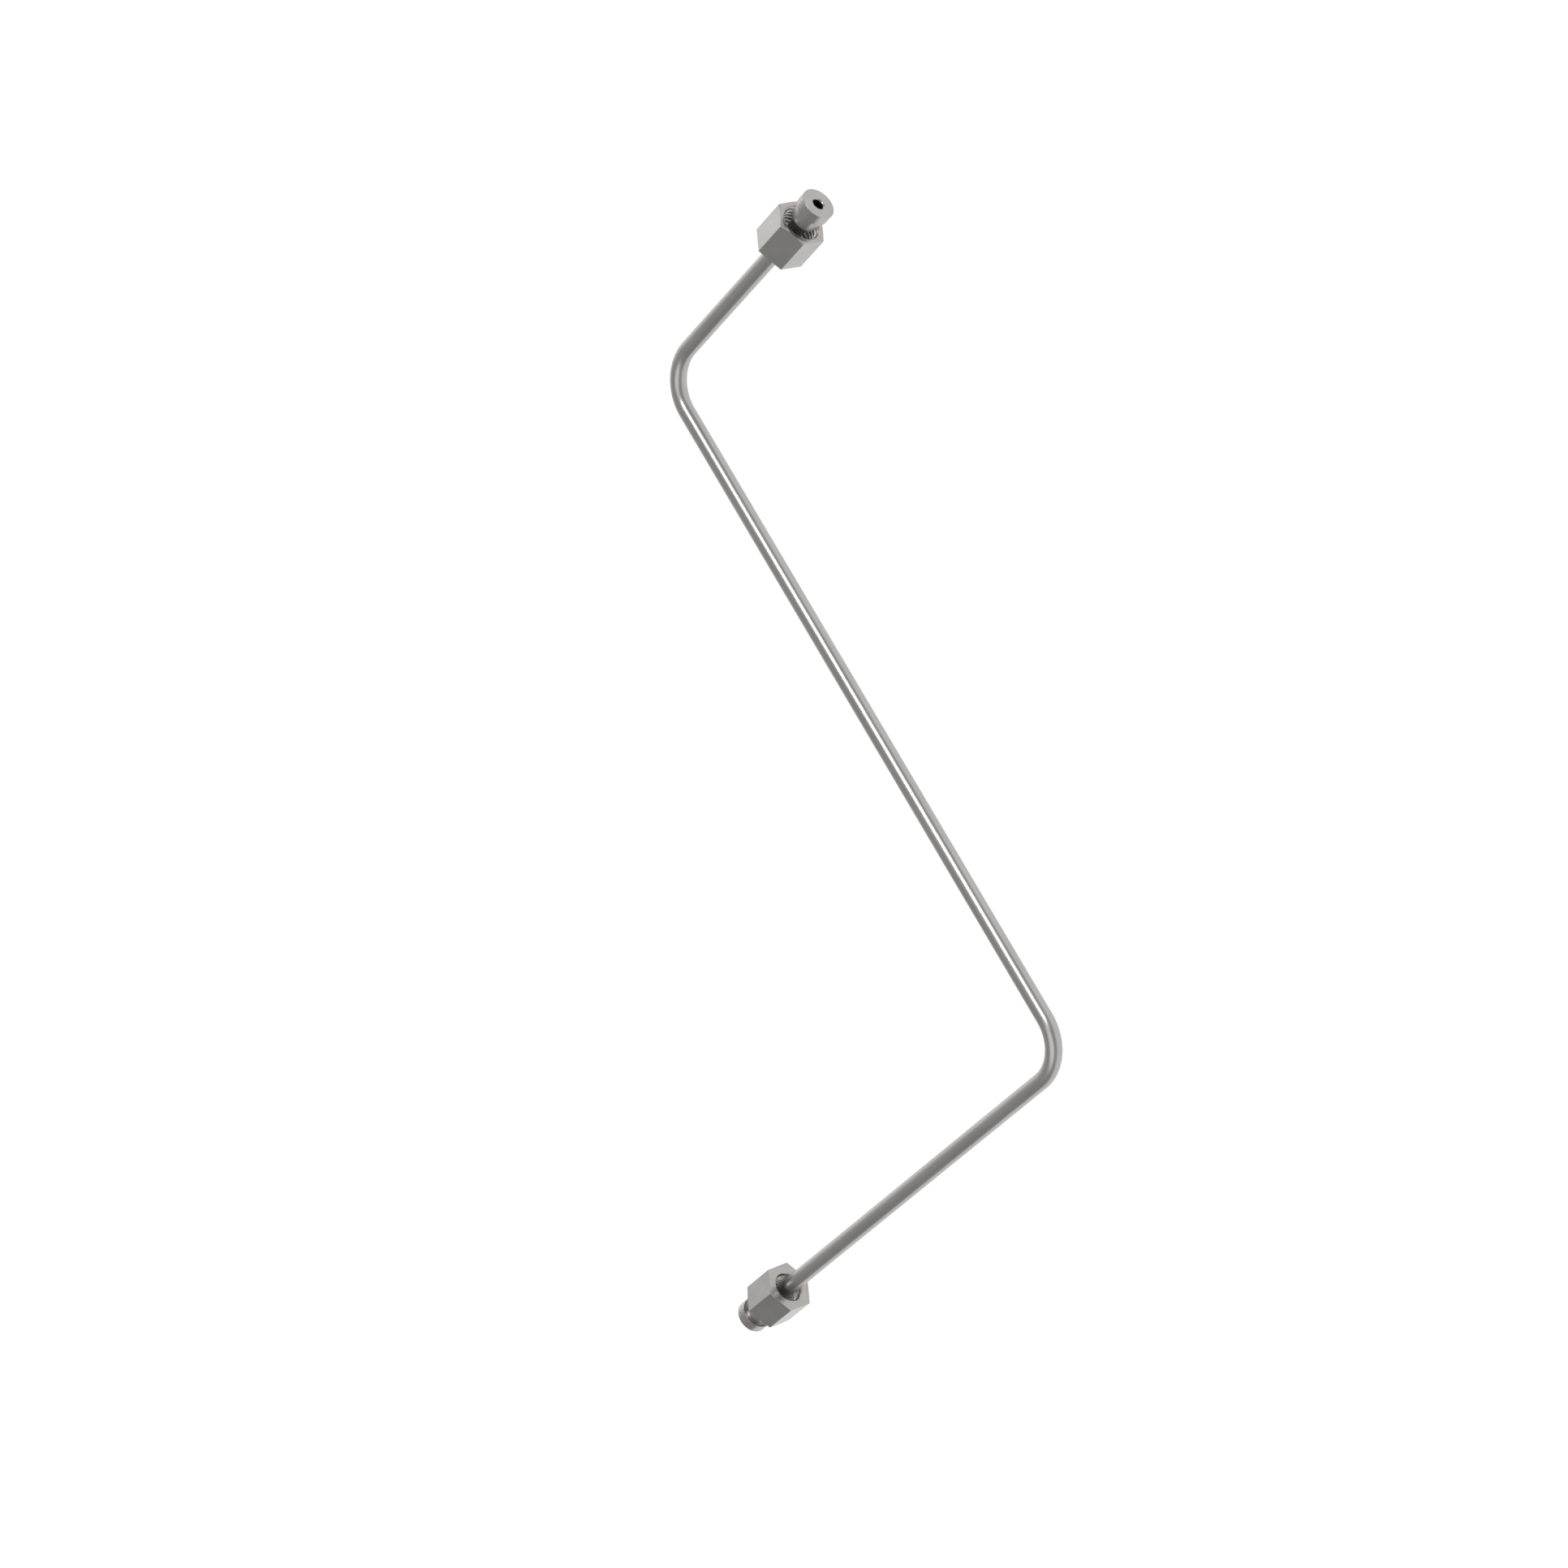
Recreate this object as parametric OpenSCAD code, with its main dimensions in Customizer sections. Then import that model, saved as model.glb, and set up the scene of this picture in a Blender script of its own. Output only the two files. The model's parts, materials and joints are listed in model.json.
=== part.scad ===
// Steel brake line: a bent pipe with a flat-faced nipple brazed on each end
// and a loose union nut behind each nipple.
// The origin is the centre of the upper sealing face. +X follows the middle run,
// and the whole line lies as it rests on a flat surface.

/* [Pipe] */
// Outside diameter of the pipe
pipe_od = 6; // [4:0.25:8]
// Wall of the pipe
pipe_wall = 1; // [0.5:0.1:1.5]
// Radius of both bends, at the pipe's centre line
bend_r = 16; // [12:0.5:24]
// Upper leg, from the sealing face to the corner of the first bend
upper_leg = 99.5; // [60:0.5:160]
// Middle run, from corner to corner of the two bends
middle_run = 280.5; // [120:0.5:400]
// Lower leg, from the corner of the second bend to the sealing face
lower_leg = 199.5; // [100:0.5:300]

/* [Nipples] */
// Diameter of the head that seals in the port
head_d = 12.2; // [11.5:0.1:12.3]
// Length of the head
head_len = 4; // [2.5:0.1:6]
// Diameter of the neck behind the head
neck_d = 10; // [9:0.1:10.6]
// Length of the neck
neck_len = 5; // [3:0.1:6]
// Depth to which the pipe is seated in the nipple
socket_depth = 6; // [3:0.1:7]
// Radial gap that the braze fills round the pipe
braze_gap = 0.05; // [0.02:0.01:0.1]
// Chamfer at the mouth of the fluid bore
bore_chamfer = 0.4; // [0.1:0.05:0.8]
// Small chamfer on the nipple's outer edges
edge_chamfer = 0.15; // [0.05:0.05:0.3]

/* [Union nuts] */
// Width across the flats
nut_af = 17; // [17:0.5:19]
// Length of the nut
nut_len = 14.5; // [12:0.5:18]
// Crest diameter of the M14 x 1.5 internal thread
thread_d = 12.4; // [12.4:0.05:12.7]
// Diameter of the countersink at the thread's mouth
mouth_d = 14.2; // [13:0.1:15]
// Thickness of the wall that pulls on the nipple's head
back_wall = 1.5; // [1.4:0.1:5]
// Radial clearance between the nipple's neck and the hole in the back wall
neck_clearance = 0.2; // [0.1:0.05:0.3]
// Width of the countersink round the hole in the back wall
back_sink = 0.5; // [0.2:0.1:0.9]
// Diameter of the round front face inside the chamfered corners
nut_face_d = 17.4; // [16:0.1:18.5]
// Angle of the corner chamfer, from the front face
corner_chamfer = 30; // [15:5:45]
// Half angle of both countersinks
sink_angle = 30; // [30:5:60]
// How far the front of each nut is slid back behind its sealing face
nut_setback = 10.5; // [2:0.5:30]

/* [Hidden] */
$fn = 96;

// Overlap of a cutter past the face that it opens
cut = 1;
quarter_turn = 90;
hexagon = 6;

nipple_len = head_len + neck_len;
pipe_id = pipe_od - 2 * pipe_wall;
pipe_inset = nipple_len - socket_depth;

nut_corner_r = nut_af / 2 / cos(30);
corner_dip = (nut_corner_r - nut_face_d / 2) * tan(corner_chamfer);
back_hole_d = neck_d + 2 * neck_clearance;
back_mouth_d = back_hole_d + 2 * back_sink;
back_sink_len = back_sink / tan(sink_angle);
mouth_sink_len = (mouth_d - thread_d) / 2 / tan(sink_angle);

// Corner points of the centre line in the pipe's own plane, from the upper sealing face
first_corner = [0, -upper_leg];
second_corner = [middle_run, -upper_leg];
lower_face = [middle_run, -upper_leg - lower_leg];

// Straight length, turn, and roll about the pipe before the turn
PIPE_RUN = [
    [upper_leg - pipe_inset - bend_r, quarter_turn, 0],
    [middle_run - 2 * bend_r, quarter_turn, 180],
    [lower_leg - pipe_inset - bend_r, 0, 0]
];

// At rest the line touches the surface in three places: the front of the upper
// nut's bottom corner, the back of the lower nut's, and the outside of bend 2.
upper_touch = [0, -nut_setback - corner_dip];
lower_touch = [middle_run, lower_face.y + nut_setback + nut_len];
touch_line = lower_touch - upper_touch;
rest_axis = touch_line / norm(touch_line);
rest_side = [-rest_axis.y, rest_axis.x];
second_centre = second_corner - [bend_r, bend_r];
bend_reach = (second_centre - upper_touch) * rest_side + bend_r;
rest_tilt = acos(pipe_od / 2 / norm([nut_corner_r, bend_reach])) - atan2(bend_reach, nut_corner_r);

// Tips the pipe's plane about the line between the nuts until bend 2 touches down
module at_rest() {
    rotate(a = -rest_tilt, v = [rest_axis.x, rest_axis.y, 0]) children();
}

// Puts a fitting at an end: its +Z then points from the sealing face back along the pipe
module at_upper_end() {
    rotate([90, 0, 0]) children();
}

module at_lower_end() {
    translate([lower_face.x, lower_face.y, 0]) rotate([-90, 0, 0]) children();
}

module pipe_section() {
    difference() {
        circle(d = pipe_od);
        circle(d = pipe_id);
    }
}

// One bend in the XZ plane: it starts along +Z at the origin and curves towards +X
module pipe_bend(turn) {
    translate([bend_r, 0, 0])
        rotate([90, 0, 180])
            rotate_extrude(angle = turn)
                translate([bend_r, 0])
                    pipe_section();
}

// Draws the run from step i on, each piece from the end of the one before
module pipe_from(i) {
    straight = PIPE_RUN[i][0];
    turn = PIPE_RUN[i][1];
    roll = PIPE_RUN[i][2];
    linear_extrude(straight) pipe_section();
    if (turn > 0)
        translate([0, 0, straight]) rotate([0, 0, roll]) {
            pipe_bend(turn);
            translate([bend_r * (1 - cos(turn)), 0, bend_r * sin(turn)])
                rotate([0, turn, 0])
                    pipe_from(i + 1);
        }
}

// Turned nipple: sealing head, neck, fluid bore and a socket for the pipe's end
module nipple() {
    head_r = head_d / 2;
    neck_r = neck_d / 2;
    bore_r = pipe_id / 2;
    socket_r = pipe_od / 2 + braze_gap;
    rotate_extrude()
        polygon([
            [bore_r + bore_chamfer, 0],
            [head_r - edge_chamfer, 0],
            [head_r, edge_chamfer],
            [head_r, head_len - edge_chamfer],
            [head_r - edge_chamfer, head_len],
            [neck_r, head_len],
            [neck_r, nipple_len - edge_chamfer],
            [neck_r - edge_chamfer, nipple_len],
            [socket_r, nipple_len],
            [socket_r, pipe_inset],
            [bore_r, pipe_inset],
            [bore_r, bore_chamfer]
        ]);
}

// Turning that cuts the nut's front corners back to a round face
module nut_envelope() {
    outer_r = nut_corner_r + cut;
    outer_dip = (outer_r - nut_face_d / 2) * tan(corner_chamfer);
    rotate_extrude()
        polygon([
            [0, 0],
            [nut_face_d / 2, 0],
            [outer_r, outer_dip],
            [outer_r, nut_len],
            [0, nut_len]
        ]);
}

// Thread bore with its countersink, the shoulder that pulls on the head, and the back hole
module nut_bore() {
    sink_cut = cut * tan(sink_angle);
    shoulder = nut_len - back_wall;
    rotate_extrude()
        polygon([
            [0, -cut],
            [mouth_d / 2 + sink_cut, -cut],
            [thread_d / 2, mouth_sink_len],
            [thread_d / 2, shoulder],
            [back_hole_d / 2, shoulder],
            [back_hole_d / 2, nut_len - back_sink_len],
            [back_mouth_d / 2 + sink_cut, nut_len + cut],
            [0, nut_len + cut]
        ]);
}

// Hexagon union nut with a corner up and a corner down, front face at its origin
module union_nut() {
    difference() {
        intersection() {
            rotate([0, 0, 30]) cylinder(r = nut_corner_r, h = nut_len, $fn = hexagon);
            nut_envelope();
        }
        nut_bore();
    }
}

module slid_back() {
    translate([0, 0, nut_setback]) union_nut();
}

module pipe() {
    color("lightslategray")
        at_rest() at_upper_end() translate([0, 0, pipe_inset]) pipe_from(0);
}

module upper_nipple() {
    color("silver") at_rest() at_upper_end() nipple();
}

module lower_nipple() {
    color("silver") at_rest() at_lower_end() nipple();
}

module upper_nut() {
    color("darkgray") at_rest() at_upper_end() slid_back();
}

module lower_nut() {
    color("darkgray") at_rest() at_lower_end() slid_back();
}

pipe();
upper_nipple();
lower_nipple();
upper_nut();
lower_nut();
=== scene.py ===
"""Looks of a steel brake line: a twice-bent pipe, a nipple and a loose union nut at each end."""

import json
import math

import bpy
from mathutils import Matrix, Vector


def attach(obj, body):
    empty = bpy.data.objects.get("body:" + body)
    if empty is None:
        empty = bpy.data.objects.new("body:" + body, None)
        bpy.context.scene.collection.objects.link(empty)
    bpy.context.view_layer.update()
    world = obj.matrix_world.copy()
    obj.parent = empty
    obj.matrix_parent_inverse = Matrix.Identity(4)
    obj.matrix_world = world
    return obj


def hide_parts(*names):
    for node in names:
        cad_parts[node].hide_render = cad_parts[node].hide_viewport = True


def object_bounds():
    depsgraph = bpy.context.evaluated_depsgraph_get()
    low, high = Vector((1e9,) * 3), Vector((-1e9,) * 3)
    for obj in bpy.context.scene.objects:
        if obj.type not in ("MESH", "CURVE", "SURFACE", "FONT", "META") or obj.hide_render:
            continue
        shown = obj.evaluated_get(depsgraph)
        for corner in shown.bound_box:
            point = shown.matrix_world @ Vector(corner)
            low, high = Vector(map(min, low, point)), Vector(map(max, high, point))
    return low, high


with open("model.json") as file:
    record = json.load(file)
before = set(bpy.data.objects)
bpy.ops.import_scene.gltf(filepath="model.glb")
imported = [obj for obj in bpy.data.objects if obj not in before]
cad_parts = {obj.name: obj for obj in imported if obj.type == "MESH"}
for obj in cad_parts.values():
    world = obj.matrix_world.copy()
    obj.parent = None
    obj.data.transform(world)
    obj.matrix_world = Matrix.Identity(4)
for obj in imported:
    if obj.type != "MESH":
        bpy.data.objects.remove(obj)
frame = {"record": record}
cad_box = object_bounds()

# Sizes in metres, the same as in the part's source
MM = 0.001
PIPE_R, BORE_R = 3 * MM, 2 * MM
BEND_R = 16 * MM
UPPER_LEG, MIDDLE_RUN, LOWER_LEG = 99.5 * MM, 280.5 * MM, 199.5 * MM
HEAD_R, HEAD_LEN = 6.1 * MM, 4 * MM
NECK_R, NIPPLE_LEN = 5 * MM, 9 * MM
PIPE_INSET, SOCKET_R = 3 * MM, 3.05 * MM
BORE_CHAMFER = 0.4 * MM
NUT_HALF_AF, NUT_LEN = 8.5 * MM, 14.5 * MM
NUT_SETBACK, NUT_FACE_R = 10.5 * MM, 8.7 * MM
MOUTH_R, CREST_R, ROOT_R = 7.1 * MM, 6.2 * MM, 7.0 * MM
# The shoulder lies a hair deeper than in the source, to clear the head that it pulls on
SHOULDER, THREAD_END = 13.02 * MM, 8 * MM
HOLE_R, HOLE_MOUTH_R = 5.2 * MM, 5.7 * MM
THREAD_PITCH = 1.5 * MM
# Slope of the countersinks, the thread's flanks and the chamfer on the nut's corners
TAN_30 = math.tan(math.radians(30))

# Small rounds that only show as glints along the edges
TURNED_ROUND = 0.16 * MM
SEAT_ROUND, NECK_FILLET = 0.06 * MM, 0.1 * MM
NUT_ROUND, NUT_CORNER_ROUND = 0.07 * MM, 0.2 * MM
# Narrow strips beside the edges of the nut's mouth, rear hole and shoulder, so that they shade crisply
MOUTH_STRIP = 0.04 * MM
HOLE_STRIPS = (0.05 * MM, 0.03 * MM, 0.02 * MM)
SHOULDER_STRIP = 0.1 * MM

# How finely the curves are cut
ARC_SHARES = (0, 0.18, 0.5, 0.82, 1)
ROUND_STEPS, BEND_STEPS, THREAD_STEPS = 128, 48, 20
CORNER_STEPS, FLAT_STEPS = 3, 14

# The photograph's camera, fitted to the corners of both nuts and the pipe's edges
PHOTO_PIXELS = 1932
FOCAL_PIXELS = 5427.24
SENSOR_MM = 36
CAMERA_CLIP = (0.05, 100)
CAMERA_AT = Vector((0.56648, 0.92803, 1.01211))
CAMERA_RIGHT = Vector((0.4592, 0.50459, -0.73111))
CAMERA_DOWN = Vector((0.84403, -0.5045, 0.18192))

# Studio light. Directions are azimuth and elevation in degrees, levels are radiances
ROOM_LEVEL, ROOM_TINT = 0.48, (1, 0.995, 0.985, 1)
PATCHES = (
    {"toward": (-150, -5), "width": 30, "adds": 0.56},
    {"toward": (-150, -5), "width": 66, "adds": 0.34},
    {"toward": (-48, 24), "width": 45, "adds": -0.09},
)
KEY = {"toward": (109, 48), "half_angle": 13, "radiance": 5.6}
FILL = {"toward": (20, 62), "half_angle": 26, "radiance": 0.8}
LIGHT_DISTANCE = 6

# The floor glows evenly, like a light table, and so hardly takes a shadow
FLOOR_HALF = 15
FLOOR_GREY, FLOOR_GLOW = 0.2, 0.9
FLOOR_ROUGHNESS, FLOOR_GLOSS = 0.9, 0.1
# The floor lies this far below the resting part, so that it doesn't cut a nut slid down to bend 2
FLOOR_DROP = 6.6 * MM

# Bare steels: colour, roughness, marks and clouds per metre round and along the work, mark depth
STEELS = {
    "pipe_steel": ((0.425, 0.422, 0.418), 0.29, (5000, 60), (160, 30), 0.0000002),
    "turned_steel": ((0.42, 0.41, 0.399), 0.27, (12, 4200), (140, 140), 0.0000003),
    "drawn_steel": ((0.42, 0.417, 0.41), 0.27, (4200, 120), (140, 90), 0.00000002),
    # The bore's steel is painted lighter than the others: painted light, standing in for light bounced
    # about inside the nut's bore
    "bore_steel_painted_light": ((0.57, 0.55, 0.527), 0.3, (12, 2600), (140, 140), 0.0000003),
}
# How far colour and roughness wander about those, and the noise that drives them
TINT_SPREAD, ROUGHNESS_SPREAD = (0.93, 1.05), (0.98, 1.02)
NOISE_RANGE = (0.3, 0.7)
MARK_DETAIL, CLOUD_DETAIL = 3, 4
# The nut's materials, in the order of its slots
DRAWN, TURNED, BORED = 0, 1, 2


def axes_of_line():
    """Axes of the pipe's own plane, from the two sealing faces."""
    mounts = {m["name"]: m for m in frame["record"]["mounts"]}
    upper, lower = mounts["upper_sealing_face"], mounts["lower_sealing_face"]
    out = Vector(upper["axis"]).normalized()
    across = Vector(lower["pos_m"]) - Vector(upper["pos_m"])
    along = (across - across.dot(out) * out).normalized()
    return along, out, along.cross(out)


ALONG, OUT, UP = axes_of_line()
UPPER_END = (Vector((0, 0, 0)), -OUT)
LOWER_END = (MIDDLE_RUN * ALONG - (UPPER_LEG + LOWER_LEG) * OUT, OUT)


def make_camera():
    right = CAMERA_RIGHT.normalized()
    up = -(CAMERA_DOWN - CAMERA_DOWN.dot(right) * right).normalized()
    turn = Matrix((right, up, right.cross(up))).transposed()
    data = bpy.data.cameras.new("camera")
    data.sensor_width = SENSOR_MM
    data.lens = FOCAL_PIXELS / PHOTO_PIXELS * SENSOR_MM
    data.clip_start, data.clip_end = CAMERA_CLIP
    camera = bpy.data.objects.new("camera", data)
    camera.matrix_world = Matrix.Translation(CAMERA_AT) @ turn.to_4x4()
    bpy.context.scene.collection.objects.link(camera)
    bpy.context.scene.camera = camera


def new_piece(name, points, faces, uvs, materials, kinds):
    """A mesh object at the origin. uvs are in metres, and kinds pick each face's material."""
    mesh = bpy.data.meshes.new(name)
    mesh.from_pydata(points, [], faces)
    layer = mesh.uv_layers.new(name="UVMap")
    layer.data.foreach_set("uv", [c for uv in uvs for c in uv])
    for m in materials:
        mesh.materials.append(m)
    mesh.polygons.foreach_set("material_index", kinds)
    mesh.polygons.foreach_set("use_smooth", [True] * len(faces))
    mesh.validate()
    piece = bpy.data.objects.new(name, mesh)
    bpy.context.scene.collection.objects.link(piece)
    weigh = piece.modifiers.new("weigh", "WEIGHTED_NORMAL")
    weigh.weight = 100
    return piece


def loop_of_rows(name, rows, lengths, widths, materials, row_kinds):
    """Closes equal rows of points into a ring-shaped skin. Each row closes on itself too.

    lengths and widths are how far each row and each point of a row lies along the surface."""
    count, steps = len(rows), len(rows[0])
    points = [p for row in rows for p in row]
    faces, uvs, kinds = [], [], []
    for i in range(count):
        here, after = i * steps, (i + 1) % count * steps
        near, far = lengths[i], lengths[i + 1]
        for k in range(steps):
            turn = (k + 1) % steps
            faces.append((here + k, after + k, after + turn, here + turn))
            left, right = widths[k], widths[k + 1]
            uvs += [(left, near), (left, far), (right, far), (right, near)]
            kinds.append(row_kinds[i])
    return new_piece(name, points, faces, uvs, materials, kinds)


def pipe_path():
    """Centre points and directions of the pipe, from inside the upper nipple to inside the lower one."""
    steps = [(-PIPE_INSET * OUT, -OUT)]
    corners = (
        (-UPPER_LEG * OUT, -OUT, ALONG),
        (MIDDLE_RUN * ALONG - UPPER_LEG * OUT, ALONG, -OUT),
    )
    for corner, before, after in corners:
        centre = corner + BEND_R * (after - before)
        for i in range(BEND_STEPS + 1):
            a = math.pi / 2 * i / BEND_STEPS
            spot = centre + BEND_R * (before * math.sin(a) - after * math.cos(a))
            steps.append((spot, before * math.cos(a) + after * math.sin(a)))
    start, inward = LOWER_END
    steps.append((start + PIPE_INSET * inward, -inward))
    return steps


def circle_turns():
    """Angles of the points round the pipe and the nipples."""
    return [2 * math.pi * k / ROUND_STEPS for k in range(ROUND_STEPS)]


def circle_widths(radius):
    """How far those points lie round the surface, ending with the whole way round."""
    return [2 * math.pi * radius * k / ROUND_STEPS for k in range(ROUND_STEPS + 1)]


def make_pipe(material):
    """The pipe as one closed skin: down the bore, across the end and back along the outside."""
    path, wall = pipe_path(), PIPE_R - BORE_R

    def ring(spot, way, radius):
        side = UP.cross(way)
        return [spot + radius * (math.cos(a) * side + math.sin(a) * UP) for a in circle_turns()]

    rows = [ring(spot, way, BORE_R) for spot, way in path]
    rows += [ring(spot, way, PIPE_R) for spot, way in reversed(path)]
    inside = [0]
    for (p, _), (q, _) in zip(path, path[1:]):
        inside.append(inside[-1] + (q - p).length)
    whole = 2 * (inside[-1] + wall)
    outside = [whole - wall - v for v in reversed(inside)]
    lengths = inside + outside + [whole]
    return loop_of_rows("pipe_skin", rows, lengths, circle_widths(PIPE_R), [material], [0] * len(rows))


def rounded(corners):
    """The closed outline of points (r, z) whose corners (r, z, radius) are turned into short arcs."""
    outline = []
    for i, (r, z, radius) in enumerate(corners):
        if radius == 0:
            outline.append((r, z))
            continue
        here = Vector((r, z))
        back = (Vector(corners[i - 1][:2]) - here).normalized()
        on = (Vector(corners[(i + 1) % len(corners)][:2]) - here).normalized()
        for t in ARC_SHARES:
            spot = (here + back * radius * (1 - t)).lerp(here + on * radius * t, t)
            outline.append((spot.x, spot.y))
    return outline


def place(end, r, z, a):
    """A point at radius r and angle a, z behind the sealing face of that end."""
    face, inward = end
    side = UP.cross(inward)
    return face + z * inward + r * (math.cos(a) * UP + math.sin(a) * side)


def along_outline(outline):
    """How far each point lies along the closed outline, ending with the whole way round."""
    lengths = [0]
    for (r0, z0), (r1, z1) in zip(outline, outline[1:] + outline[:1]):
        lengths.append(lengths[-1] + math.hypot(r1 - r0, z1 - z0))
    return lengths


def make_nipple(name, end, material):
    outline = rounded([
        (BORE_R, BORE_CHAMFER, SEAT_ROUND),
        (BORE_R + BORE_CHAMFER, 0, SEAT_ROUND),
        (HEAD_R, 0, TURNED_ROUND),
        (HEAD_R, HEAD_LEN, TURNED_ROUND),
        (NECK_R, HEAD_LEN, NECK_FILLET),
        (NECK_R, NIPPLE_LEN, TURNED_ROUND),
        (SOCKET_R, NIPPLE_LEN, 0),
        (SOCKET_R, PIPE_INSET, 0),
        (BORE_R, PIPE_INSET, 0),
    ])
    rows = [[place(end, r, z, a) for a in circle_turns()] for r, z in outline]
    widths = circle_widths(HEAD_R)
    return loop_of_rows(name, rows, along_outline(outline), widths, [material], [0] * len(rows))


def nut_turns():
    """Angles round the nut, close together at the six rounded corners. The first corner is up."""
    corner_r, middle = NUT_HALF_AF / math.cos(math.pi / 6), 30
    near = math.degrees(NUT_CORNER_ROUND * TAN_30 / corner_r)
    half = [near * k / CORNER_STEPS for k in range(CORNER_STEPS + 1)]
    half += [near + (middle - near) * k / FLAT_STEPS for k in range(1, FLAT_STEPS + 1)]
    sector = half + [2 * middle - v for v in reversed(half[1:-1])]
    return [math.radians(2 * middle * s + v) for s in range(6) for v in sector]


def hexagon(a):
    """Distance from the axis to the nut's outside at angle a."""
    off = abs((a + math.pi / 6) % (math.pi / 3) - math.pi / 6)
    flat = NUT_HALF_AF / math.cos(math.pi / 6 - off)
    centre = (NUT_HALF_AF - NUT_CORNER_ROUND) / math.cos(math.pi / 6)
    reach = NUT_CORNER_ROUND**2 - (centre * math.sin(off)) ** 2
    if reach <= 0:
        return flat
    return min(flat, centre * math.cos(off) + math.sqrt(reach))


def thread(a, z):
    """Radius of the internal thread, opened by the countersink and running out into the plain bore."""
    phase = ((z / THREAD_PITCH - a / (2 * math.pi)) % 1) * THREAD_PITCH
    crest, depth = THREAD_PITCH / 4, ROOT_R - CREST_R
    from_crest = max(0, min(phase, THREAD_PITCH - phase) - crest / 2)
    depth *= min(1, max(0, (THREAD_END - z) / THREAD_PITCH))
    helix = CREST_R + min(depth, from_crest / TAN_30)
    return max(helix, MOUTH_R - z * TAN_30)


def nut_rows():
    """The nut's outline as rows: a function of the angle to (r, z), and the material from there on."""
    e = NUT_ROUND
    sink_end = NUT_LEN - (HOLE_MOUTH_R - HOLE_R) / TAN_30
    beside, inside, below = HOLE_STRIPS

    def face_r(a):
        return min(NUT_FACE_R, hexagon(a))

    def dip(a):
        return max(0, hexagon(a) - NUT_FACE_R) * TAN_30

    # Round the front edge in shares of e, along the side, round the rear edge and into the hole
    rows = [
        (lambda a: (MOUTH_R + MOUTH_STRIP, 0), TURNED),
        (lambda a: (face_r(a) - e, 0), TURNED),
        (lambda a: (face_r(a) - 0.3 * e, 0.06 * e), TURNED),
        (lambda a: (max(face_r(a) - 0.05 * e, hexagon(a) - e), 0.3 * e + dip(a) * 0.4), TURNED),
        (lambda a: (hexagon(a) - 0.3 * e, 0.45 * e + dip(a) * 0.93), TURNED),
        (lambda a: (hexagon(a), e + dip(a)), DRAWN),
        (lambda a: (hexagon(a), NUT_LEN - e), TURNED),
        (lambda a: (hexagon(a) - 0.3 * e, NUT_LEN - 0.3 * e), TURNED),
        (lambda a: (hexagon(a) - e, NUT_LEN), TURNED),
        (lambda a: (HOLE_MOUTH_R + beside, NUT_LEN), TURNED),
        (lambda a: (HOLE_MOUTH_R, NUT_LEN - inside), BORED),
        (lambda a: (HOLE_R + below, sink_end), BORED),
        (lambda a: (HOLE_R, sink_end - beside), BORED),
        (lambda a: (HOLE_R, SHOULDER + SHOULDER_STRIP), BORED),
        (lambda a: (HOLE_R + SHOULDER_STRIP, SHOULDER), BORED),
    ]
    count = round(SHOULDER / THREAD_PITCH * THREAD_STEPS)
    levels = [SHOULDER * (1 - k / count) for k in range(count)]
    return rows + [(lambda a, z=z: (thread(a, z), z), BORED) for z in levels]


def make_nut(name, end, materials):
    turns = nut_turns()
    rows = nut_rows()
    outlines = [[row(a) for a in turns] for row, _ in rows]
    points = [
        [place(end, r, NUT_SETBACK + z, a) for (r, z), a in zip(outline, turns)] for outline in outlines
    ]
    lengths = along_outline([outline[0] for outline in outlines])
    widths = [a * NUT_HALF_AF for a in turns] + [2 * math.pi * NUT_HALF_AF]
    return loop_of_rows(name, points, lengths, widths, materials, [kind for _, kind in rows])


def steel(name):
    """Bare steel with fine tool marks and faint clouds, both laid out in metres by the UV map."""
    colour, roughness, grain, clouds, depth = STEELS[name]
    material = bpy.data.materials.new(name)
    material.use_nodes = True
    nodes, links = material.node_tree.nodes, material.node_tree.links
    shader = nodes["Principled BSDF"]
    shader.inputs["Metallic"].default_value = 1
    where = nodes.new("ShaderNodeUVMap")
    where.uv_map = "UVMap"

    def noise(scale, detail):
        stretch = nodes.new("ShaderNodeMapping")
        stretch.inputs["Scale"].default_value = (*scale, 1)
        texture = nodes.new("ShaderNodeTexNoise")
        texture.inputs["Scale"].default_value = 1
        texture.inputs["Detail"].default_value = detail
        links.new(where.outputs["UV"], stretch.inputs["Vector"])
        links.new(stretch.outputs["Vector"], texture.inputs["Vector"])
        return texture.outputs["Fac"]

    def spread(value, low, high):
        ranged = nodes.new("ShaderNodeMapRange")
        ranged.inputs["From Min"].default_value, ranged.inputs["From Max"].default_value = NOISE_RANGE
        ranged.inputs["To Min"].default_value = low
        ranged.inputs["To Max"].default_value = high
        links.new(value, ranged.inputs["Value"])
        return ranged.outputs["Result"]

    marks = noise(grain, MARK_DETAIL)
    tint = nodes.new("ShaderNodeMix")
    tint.data_type = "RGBA"
    for name_in, share in zip(("A", "B"), TINT_SPREAD):
        tint.inputs[name_in].default_value = (*[c * share for c in colour], 1)
    links.new(spread(noise(clouds, CLOUD_DETAIL), 0, 1), tint.inputs["Factor"])
    links.new(tint.outputs["Result"], shader.inputs["Base Color"])
    links.new(spread(marks, *[roughness * share for share in ROUGHNESS_SPREAD]), shader.inputs["Roughness"])
    bump = nodes.new("ShaderNodeBump")
    bump.inputs["Strength"].default_value = 1
    bump.inputs["Distance"].default_value = depth
    links.new(marks, bump.inputs["Height"])
    links.new(bump.outputs["Normal"], shader.inputs["Normal"])
    return material


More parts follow.
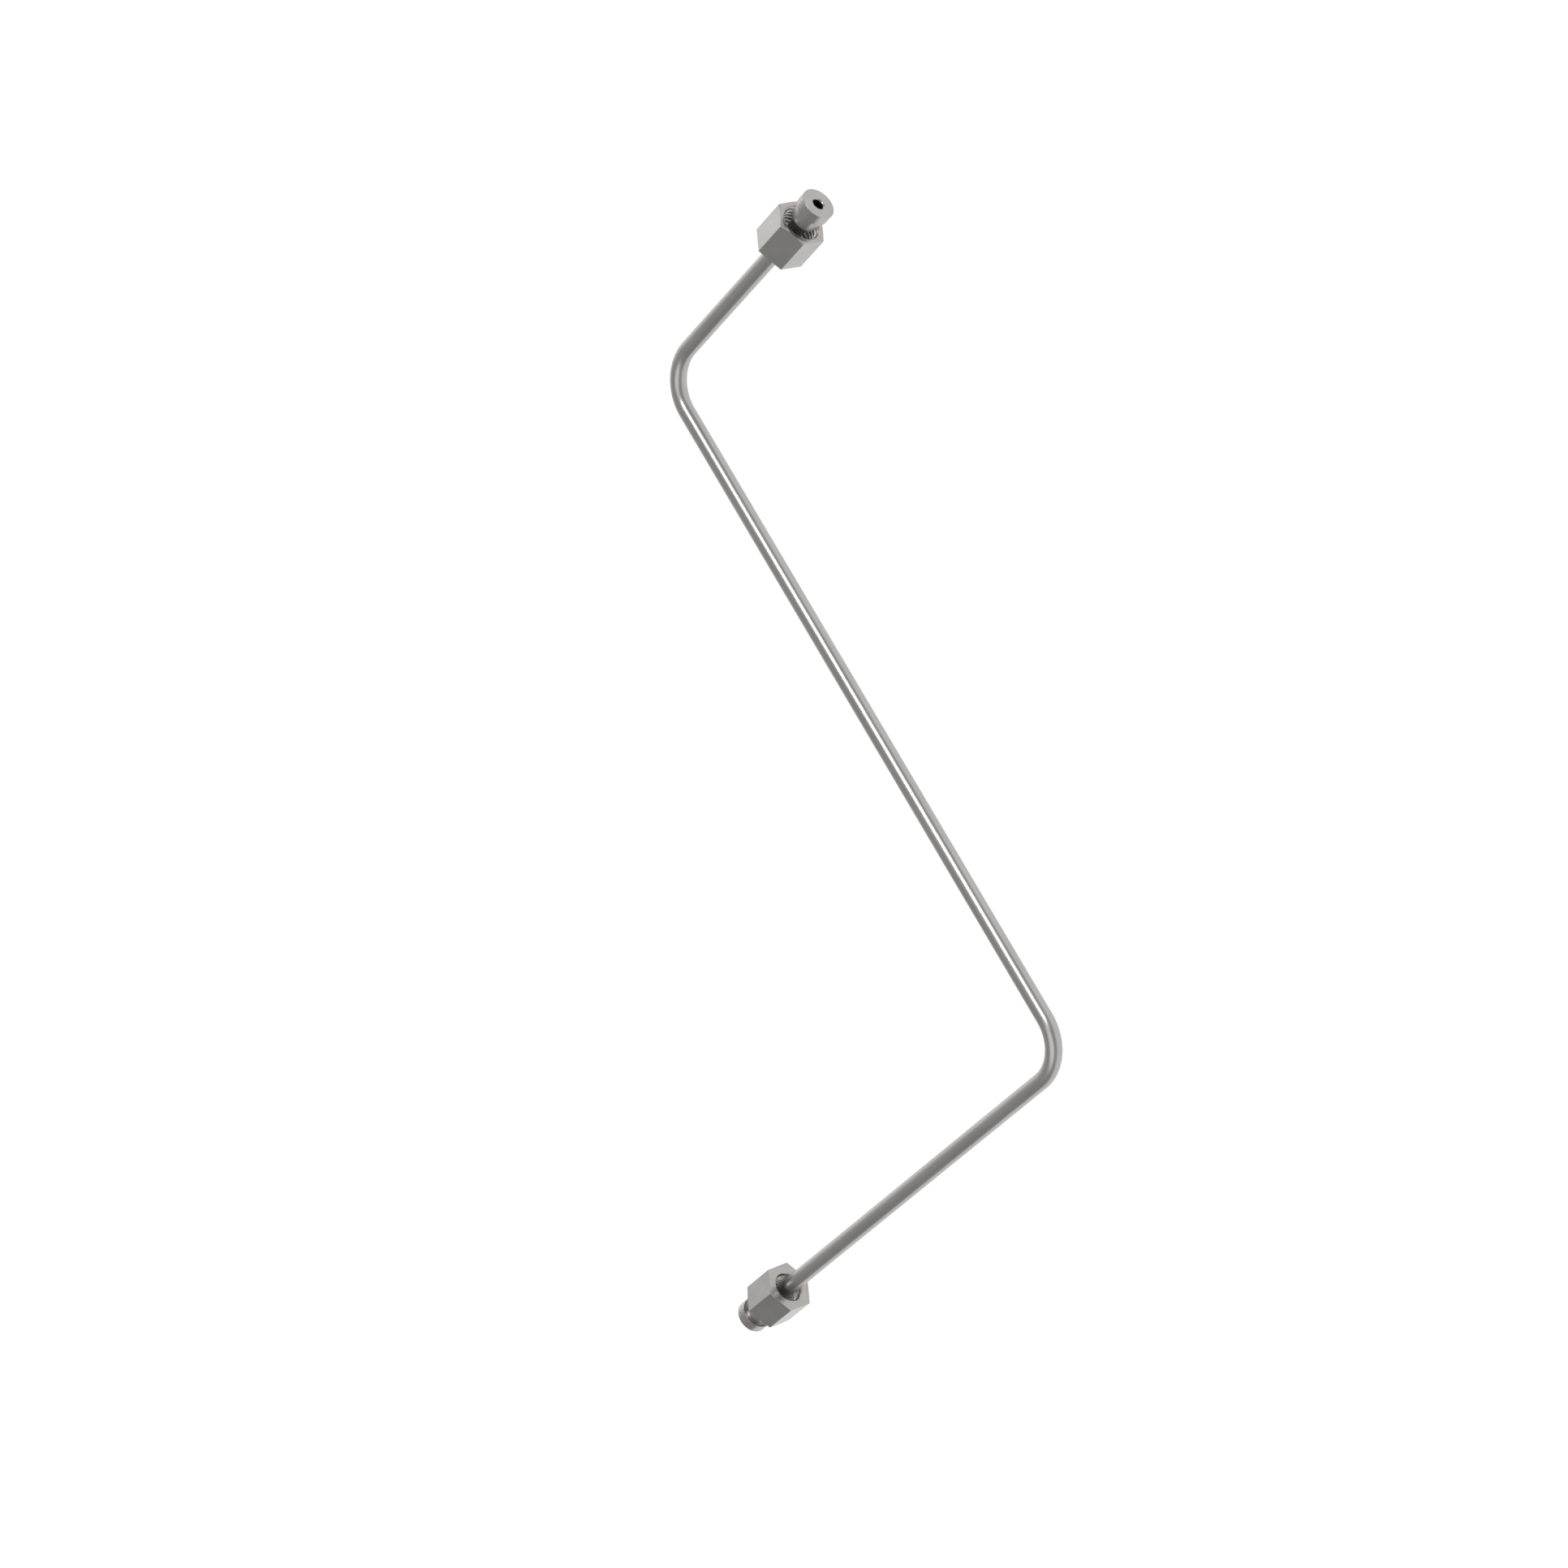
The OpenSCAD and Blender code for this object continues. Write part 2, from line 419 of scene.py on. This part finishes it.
def make_floor():
    size, level = FLOOR_HALF, cad_box[0].z - FLOOR_DROP
    mesh = bpy.data.meshes.new("floor")
    corners = [(-size, -size, level), (size, -size, level), (size, size, level), (-size, size, level)]
    mesh.from_pydata(corners, [], [(0, 1, 2, 3)])
    material = bpy.data.materials.new("floor_white")
    material.use_nodes = True
    shader = material.node_tree.nodes["Principled BSDF"]
    shader.inputs["Base Color"].default_value = (FLOOR_GREY, FLOOR_GREY, FLOOR_GREY, 1)
    shader.inputs["Roughness"].default_value = FLOOR_ROUGHNESS
    shader.inputs["Specular IOR Level"].default_value = FLOOR_GLOSS
    shader.inputs["Emission Color"].default_value = (1, 1, 1, 1)
    shader.inputs["Emission Strength"].default_value = FLOOR_GLOW
    mesh.materials.append(material)
    floor = bpy.data.objects.new("floor", mesh)
    bpy.context.scene.collection.objects.link(floor)


def direction(azimuth, elevation):
    a, e = math.radians(azimuth), math.radians(elevation)
    return Vector((math.cos(a) * math.cos(e), math.sin(a) * math.cos(e), math.sin(e)))


def make_studio():
    """A pale room with a bright horizon on one side and a darker wall, which the metal mirrors."""
    world = bpy.data.worlds.new("studio")
    bpy.context.scene.world = world
    world.use_nodes = True
    nodes, links = world.node_tree.nodes, world.node_tree.links
    where = nodes.new("ShaderNodeTexCoord")

    def patch(toward, width, adds, level):
        """Adds to the level towards that direction, falling to nothing at an angle of width degrees."""
        near = nodes.new("ShaderNodeVectorMath")
        near.operation = "DOT_PRODUCT"
        near.inputs[1].default_value = direction(*toward)
        links.new(where.outputs["Generated"], near.inputs[0])
        fall = nodes.new("ShaderNodeMapRange")
        fall.interpolation_type = "SMOOTHERSTEP"
        fall.inputs["From Min"].default_value = math.cos(math.radians(width))
        fall.inputs["From Max"].default_value = 1
        links.new(near.outputs["Value"], fall.inputs["Value"])
        sum_up = nodes.new("ShaderNodeMath")
        sum_up.operation = "MULTIPLY_ADD"
        sum_up.inputs[1].default_value = adds
        links.new(fall.outputs["Result"], sum_up.inputs[0])
        links.new(level, sum_up.inputs[2])
        return sum_up.outputs["Value"]

    room = nodes.new("ShaderNodeValue")
    room.outputs["Value"].default_value = ROOM_LEVEL
    level = room.outputs["Value"]
    for each in PATCHES:
        level = patch(level=level, **each)
    links.new(level, nodes["Background"].inputs["Strength"])
    nodes["Background"].inputs["Color"].default_value = ROOM_TINT


def area_light(name, toward, half_angle, radiance):
    """A round soft box that fills that half angle as seen from the part."""
    radius = LIGHT_DISTANCE * math.tan(math.radians(half_angle))
    data = bpy.data.lights.new(name, "AREA")
    data.shape = "DISK"
    data.size = 2 * radius
    data.energy = radiance * math.pi * math.pi * radius**2
    lamp = bpy.data.objects.new(name, data)
    away = direction(*toward)
    lamp.location = (cad_box[0] + cad_box[1]) / 2 + away * LIGHT_DISTANCE
    lamp.rotation_mode = "QUATERNION"
    lamp.rotation_quaternion = away.to_track_quat("Z", "Y")
    bpy.context.scene.collection.objects.link(lamp)


def dress():
    turned = steel("turned_steel")
    # The nut's bore takes the steel painted lighter, as painted light inside the bore
    nut_steels = [steel("drawn_steel"), turned, steel("bore_steel_painted_light")]
    pipe = make_pipe(steel("pipe_steel"))
    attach(pipe, "line")
    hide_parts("pipe")
    for side, end in (("upper", UPPER_END), ("lower", LOWER_END)):
        nipple = make_nipple(side + "_nipple_skin", end, turned)
        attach(nipple, "line")
        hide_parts(side + "_nipple")
        nut = make_nut(side + "_nut_skin", end, nut_steels)
        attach(nut, side + "_union")
        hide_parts(side + "_nut")


make_camera()
dress()
make_floor()
make_studio()
area_light("key", **KEY)
area_light("fill", **FILL)
bpy.context.scene.view_settings.view_transform = "Standard"
